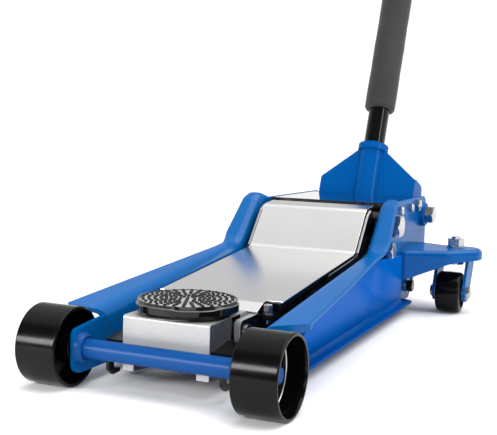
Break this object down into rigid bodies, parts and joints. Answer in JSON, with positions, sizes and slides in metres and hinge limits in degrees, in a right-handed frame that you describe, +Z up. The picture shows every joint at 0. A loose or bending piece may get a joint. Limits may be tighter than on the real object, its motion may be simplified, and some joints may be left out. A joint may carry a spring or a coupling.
{
  "type": "floor jack",
  "caption": "Low-profile hydraulic trolley jack with pressed side rails, lift arm with levelling saddle, rolling front wheels, rear swivel casters and a padded pump handle.",
  "frame": {"origin": "on the floor, under the middle of the whole object", "axes": "+Z up, +Y from the saddle end towards the pump handle, X across the rails"},
  "size_m": [0.4312, 1.176, 1.056],
  "materials": {
    "blue_paint": "gloss enamel",
    "zinc_steel": "bright zinc plate",
    "silver_sheet": "brushed, clear coated",
    "machined_steel": "ground",
    "cast_grey": "satin",
    "black_paint": "gloss enamel",
    "black_wheel": "semi gloss",
    "handle_black": "high gloss enamel",
    "foam": "matt closed-cell foam",
    "grip_rubber": "matt"
  },
  "bodies": {
    "chassis": {"side_plate_right": "blue_paint", "side_plate_left": "blue_paint", "side_skirt_right": "blue_paint", "side_skirt_left": "blue_paint", "caster_bracket_right": "blue_paint", "caster_bracket_left": "blue_paint", "front_axle": "blue_paint", "axle_retaining_rings": "zinc_steel", "cross_tube": "blue_paint", "lift_pivot_bolt": "zinc_steel", "lift_pivot_nut": "zinc_steel", "tie_rod_anchor_bolts": "zinc_steel", "yoke_pivot_bolts": "zinc_steel", "yoke_pivot_spacers": "blue_paint", "rear_cover": "silver_sheet", "cover_screws": "zinc_steel", "pump_block": "cast_grey", "ram_cylinder": "cast_grey", "oil_reservoir": "cast_grey", "filler_plug": "zinc_steel", "pump_mount_bolts": "zinc_steel", "caster_kingpins": "zinc_steel", "caster_kingpin_nuts": "zinc_steel"},
    "front_wheel_right": {"front_wheel_right": "black_paint"},
    "front_wheel_left": {"front_wheel_left": "black_paint"},
    "caster_right": {"caster_fork_right": "blue_paint", "caster_axle_right": "zinc_steel"},
    "caster_left": {"caster_fork_left": "blue_paint", "caster_axle_left": "zinc_steel"},
    "caster_wheel_right": {"caster_wheel_right": "black_wheel"},
    "caster_wheel_left": {"caster_wheel_left": "black_wheel"},
    "lift_arm": {"arm_plate_right": "black_paint", "arm_plate_left": "black_paint", "arm_pivot_tube": "black_paint", "arm_cross_plate": "black_paint", "arm_cover": "silver_sheet", "crank_lever_right": "black_paint", "crank_lever_left": "black_paint", "crank_pin": "machined_steel", "saddle_block_pins": "zinc_steel"},
    "crank_roller": {"crank_roller": "machined_steel"},
    "saddle_block": {"saddle_block": "cast_grey", "saddle_block_cover": "silver_sheet", "tie_rod_front_pin": "zinc_steel"},
    "saddle": {"saddle": "black_paint"},
    "tie_rods": {"tie_rod_right": "black_paint", "tie_rod_left": "black_paint"},
    "ram": {"ram_rod": "machined_steel", "ram_head": "machined_steel"},
    "yoke": {"handle_yoke": "blue_paint", "handle_socket": "blue_paint", "yoke_roller_pin": "machined_steel"},
    "yoke_roller": {"yoke_roller": "machined_steel"},
    "pump_plunger": {"pump_plunger": "machined_steel"},
    "release_valve": {"release_valve_stem": "machined_steel"},
    "handle": {"handle_lower_tube": "handle_black", "handle_upper_tube": "handle_black", "handle_bumper": "foam", "handle_grip": "grip_rubber"},
    "join_button": {"handle_join_button": "zinc_steel"}
  },
  "joints": [
    {"name": "front_wheel_right_spin", "type": "hinge", "parent": "chassis", "child": "front_wheel_right", "pos_m": [0.1289, -0.54304, 0.045], "axis": [1, 0, 0], "continuous": true},
    {"name": "front_wheel_left_spin", "type": "hinge", "parent": "chassis", "child": "front_wheel_left", "pos_m": [-0.1289, -0.54304, 0.045], "axis": [1, 0, 0], "continuous": true},
    {"name": "caster_right_swivel", "type": "hinge", "parent": "chassis", "child": "caster_right", "pos_m": [0.172, 0.16296, 0.087], "axis": [0, 0, 1], "continuous": true},
    {"name": "caster_left_swivel", "type": "hinge", "parent": "chassis", "child": "caster_left", "pos_m": [-0.172, 0.16296, 0.087], "axis": [0, 0, 1], "continuous": true},
    {"name": "caster_wheel_right_spin", "type": "hinge", "parent": "caster_right", "child": "caster_wheel_right", "pos_m": [0.172, 0.13096, 0.0335], "axis": [1, 0, 0], "continuous": true},
    {"name": "caster_wheel_left_spin", "type": "hinge", "parent": "caster_left", "child": "caster_wheel_left", "pos_m": [-0.172, 0.13096, 0.0335], "axis": [1, 0, 0], "continuous": true},
    {"name": "lift", "type": "hinge", "parent": "chassis", "child": "lift_arm", "pos_m": [0, -0.03104, 0.152], "axis": [-1, 0, 0], "range_deg": [0, 60]},
    {"name": "saddle_level", "type": "hinge", "parent": "lift_arm", "child": "saddle_block", "pos_m": [0, -0.45104, 0.062], "axis": [-1, 0, 0], "range_deg": [-60, 0]},
    {"name": "tie_rods_swing", "type": "hinge", "parent": "chassis", "child": "tie_rods", "pos_m": [0, -0.04004, 0.116], "axis": [-1, 0, 0], "range_deg": [0, 60]},
    {"name": "saddle_turn", "type": "hinge", "parent": "saddle_block", "child": "saddle", "pos_m": [0, -0.47844, 0.0815], "axis": [0, 0, 1], "continuous": true},
    {"name": "crank_roller_spin", "type": "hinge", "parent": "lift_arm", "child": "crank_roller", "pos_m": [0, 0.01146, 0.07839], "axis": [1, 0, 0], "continuous": true},
    {"name": "ram_slide", "type": "slide", "parent": "chassis", "child": "ram", "axis": [0, -1, 0], "range_m": [0, 0.0851]},
    {"name": "yoke_pump", "type": "hinge", "parent": "chassis", "child": "yoke", "pos_m": [0, 0.20196, 0.153], "axis": [-1, 0, 0], "range_deg": [0, 55], "stiffness_Nm_per_rad": 17, "springref_deg": -49.85},
    {"name": "yoke_roller_spin", "type": "hinge", "parent": "yoke", "child": "yoke_roller", "pos_m": [0, 0.21951, 0.11929], "axis": [1, 0, 0], "continuous": true},
    {"name": "plunger_slide", "type": "slide", "parent": "chassis", "child": "pump_plunger", "axis": [0, -1, 0], "range_m": [0, 0.0352]},
    {"name": "handle_twist", "type": "hinge", "parent": "yoke", "child": "handle", "pos_m": [0, 0.22234, 0.22918], "axis": [0, 0.3907, 0.9205], "range_deg": [0, 90]},
    {"name": "release_valve_turn", "type": "hinge", "parent": "chassis", "child": "release_valve", "pos_m": [0, 0.19303, 0.16014], "axis": [0, 0.3907, 0.9205], "range_deg": [0, 90]},
    {"name": "join_button_press", "type": "slide", "parent": "handle", "child": "join_button", "axis": [-1, 0, 0], "range_m": [0, 0.004], "stiffness_N_per_m": 800, "springref_m": -0.003}
  ],
  "couplings": [
    {"joint": "saddle_level", "follows": "lift", "ratio": -1},
    {"joint": "tie_rods_swing", "follows": "lift", "ratio": 1},
    {"joint": "ram_slide", "follows": "lift", "m_per_rad": 0.081169},
    {"joint": "plunger_slide", "follows": "yoke_pump", "m_per_rad": 0.036558},
    {"joint": "release_valve_turn", "follows": "handle_twist", "ratio": 1}
  ]
}
